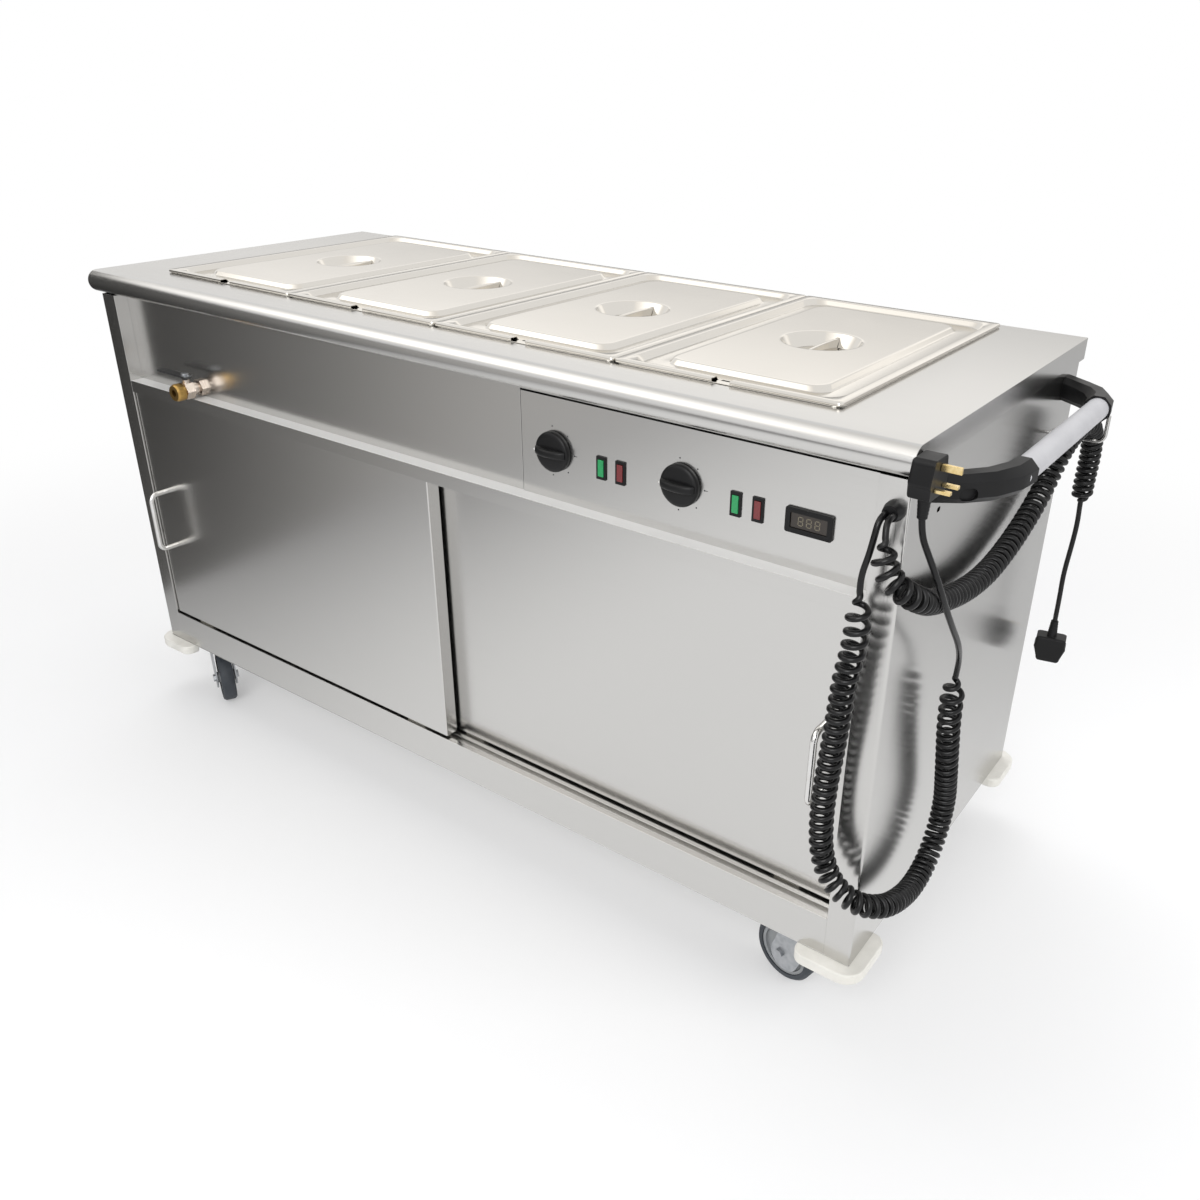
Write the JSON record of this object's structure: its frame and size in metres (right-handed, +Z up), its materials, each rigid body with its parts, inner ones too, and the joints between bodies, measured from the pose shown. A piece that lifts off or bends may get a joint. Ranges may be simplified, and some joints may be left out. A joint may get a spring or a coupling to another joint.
{
  "type": "heated servery trolley",
  "caption": "Hostess trolley: hot cupboard with sliding doors under a wet bain-marie holding lidded food pans, on swivel castors, with control panel, drain tap and mains cords.",
  "frame": {"origin": "on the floor, under the middle of the trolley's box without its cords", "axes": "+X along the front from the drain tap to the push handle, +Y from the doors to the back, +Z up"},
  "size_m": [1.643, 0.6742, 0.8625],
  "materials": {
    "stainless": "brushed",
    "pan_steel": "polished",
    "bright_rod": "polished",
    "element_steel": "satin",
    "nylon": "satin",
    "black_plastic": "satin",
    "green_lens": "gloss",
    "red_lens": "gloss",
    "display_glass": "gloss",
    "valve_brass": "satin",
    "zinc_steel": "satin",
    "cream_plastic": "satin",
    "tube_grey": "satin",
    "cord_rubber": "satin",
    "plug_rubber": "satin",
    "tyre_grey": "matte",
    "rim_grey": "matte"
  },
  "bodies": {
    "root": {"worktop": "stainless", "bain_marie_tank": "stainless", "pan_support_bars": "stainless", "side_panel_left": "stainless", "side_panel_right": "stainless", "back_panel": "stainless", "base_pan": "stainless", "cupboard_shelves": "stainless", "upper_front_panel": "stainless", "control_panel": "stainless", "door_top_rail": "stainless", "door_bottom_track": "stainless", "heating_elements": "element_steel", "thermostats": "black_plastic", "panel_bezels": "black_plastic", "green_lamp_lenses": "green_lens", "red_lamp_lenses": "red_lens", "display_window": "display_glass", "drain_valve_body": "valve_brass", "corner_bumpers": "cream_plastic", "handle_brackets": "black_plastic", "handle_tube": "tube_grey", "cord_gland": "black_plastic", "cord_hook": "bright_rod", "cord_1_coil": "cord_rubber", "cord_1_leads": "cord_rubber", "plug_1": "plug_rubber", "cord_2_coil": "cord_rubber", "cord_2_leads": "cord_rubber", "plug_2": "plug_rubber", "castor_plates": "zinc_steel"},
    "left_door": {"left_door": "stainless", "left_door_handle": "bright_rod", "left_door_glides": "nylon"},
    "right_door": {"right_door": "stainless", "right_door_handle": "bright_rod", "right_door_glides": "nylon"},
    "knob_1": {"control_knob_1": "black_plastic"},
    "knob_2": {"control_knob_2": "black_plastic"},
    "valve_lever": {"drain_valve_lever": "zinc_steel"},
    "pan_1": {"food_pan_1": "pan_steel"},
    "lid_1": {"pan_lid_1": "pan_steel"},
    "castor_swivel_1": {"castor_fork_1": "zinc_steel"},
    "castor_wheel_1": {"castor_tyre_1": "tyre_grey", "castor_rim_1": "rim_grey"},
    "pan_2": {"food_pan_2": "pan_steel"},
    "lid_2": {"pan_lid_2": "pan_steel"},
    "castor_swivel_2": {"castor_fork_2": "zinc_steel"},
    "castor_wheel_2": {"castor_tyre_2": "tyre_grey", "castor_rim_2": "rim_grey"},
    "pan_3": {"food_pan_3": "pan_steel"},
    "lid_3": {"pan_lid_3": "pan_steel"},
    "castor_swivel_3": {"castor_fork_3": "zinc_steel"},
    "castor_wheel_3": {"castor_tyre_3": "tyre_grey", "castor_rim_3": "rim_grey"},
    "pan_4": {"food_pan_4": "pan_steel"},
    "lid_4": {"pan_lid_4": "pan_steel"},
    "castor_swivel_4": {"castor_fork_4": "zinc_steel"},
    "castor_wheel_4": {"castor_tyre_4": "tyre_grey", "castor_rim_4": "rim_grey"}
  },
  "joints": [
    {"name": "left_door_slide", "type": "slide", "parent": "root", "child": "left_door", "axis": [1, 0, 0], "range_m": [0, 0.65]},
    {"name": "right_door_slide", "type": "slide", "parent": "root", "child": "right_door", "axis": [1, 0, 0], "range_m": [-0.65, 0]},
    {"name": "knob_1_turn", "type": "hinge", "parent": "root", "child": "knob_1", "pos_m": [0.2235, -0.28237, 0.734], "axis": [0, 1, 0], "range_deg": [0, 270]},
    {"name": "knob_2_turn", "type": "hinge", "parent": "root", "child": "knob_2", "pos_m": [0.4285, -0.28237, 0.734], "axis": [0, 1, 0], "range_deg": [0, 270]},
    {"name": "valve_lever_turn", "type": "hinge", "parent": "root", "child": "valve_lever", "pos_m": [-0.5795, -0.29838, 0.704], "axis": [0, 0, 1], "range_deg": [0, 90]},
    {"name": "pan_1_lift", "type": "slide", "parent": "root", "child": "pan_1", "axis": [0, 0, 1], "range_m": [0, 0.3]},
    {"name": "lid_1_lift", "type": "slide", "parent": "pan_1", "child": "lid_1", "axis": [0, 0, 1], "range_m": [0, 0.3]},
    {"name": "pan_2_lift", "type": "slide", "parent": "root", "child": "pan_2", "axis": [0, 0, 1], "range_m": [0, 0.3]},
    {"name": "lid_2_lift", "type": "slide", "parent": "pan_2", "child": "lid_2", "axis": [0, 0, 1], "range_m": [0, 0.3]},
    {"name": "pan_3_lift", "type": "slide", "parent": "root", "child": "pan_3", "axis": [0, 0, 1], "range_m": [0, 0.3]},
    {"name": "lid_3_lift", "type": "slide", "parent": "pan_3", "child": "lid_3", "axis": [0, 0, 1], "range_m": [0, 0.3]},
    {"name": "pan_4_lift", "type": "slide", "parent": "root", "child": "pan_4", "axis": [0, 0, 1], "range_m": [0, 0.3]},
    {"name": "lid_4_lift", "type": "slide", "parent": "pan_4", "child": "lid_4", "axis": [0, 0, 1], "range_m": [0, 0.3]},
    {"name": "castor_1_swivel", "type": "hinge", "parent": "root", "child": "castor_swivel_1", "pos_m": [0.6525, -0.24438, 0.112], "axis": [0, 0, 1], "continuous": true},
    {"name": "castor_1_wheel", "type": "hinge", "parent": "castor_swivel_1", "child": "castor_wheel_1", "pos_m": [0.61826, -0.2371, 0.05], "axis": [0.2079, 0.9781, 0], "continuous": true},
    {"name": "castor_2_swivel", "type": "hinge", "parent": "root", "child": "castor_swivel_2", "pos_m": [-0.7195, -0.24438, 0.112], "axis": [0, 0, 1], "continuous": true},
    {"name": "castor_2_wheel", "type": "hinge", "parent": "castor_swivel_2", "child": "castor_wheel_2", "pos_m": [-0.68846, -0.26054, 0.05], "axis": [-0.4617, -0.887, 0], "continuous": true},
    {"name": "castor_3_swivel", "type": "hinge", "parent": "root", "child": "castor_swivel_3", "pos_m": [-0.7195, 0.26162, 0.112], "axis": [0, 0, 1], "continuous": true},
    {"name": "castor_3_wheel", "type": "hinge", "parent": "castor_swivel_3", "child": "castor_wheel_3", "pos_m": [-0.68661, 0.2736, 0.05], "axis": [0.342, -0.9397, 0], "continuous": true},
    {"name": "castor_4_swivel", "type": "hinge", "parent": "root", "child": "castor_swivel_4", "pos_m": [0.6525, 0.26162, 0.112], "axis": [0, 0, 1], "continuous": true},
    {"name": "castor_4_wheel", "type": "hinge", "parent": "castor_swivel_4", "child": "castor_wheel_4", "pos_m": [0.62219, 0.27913, 0.05], "axis": [0.5, 0.866, 0], "continuous": true}
  ]
}
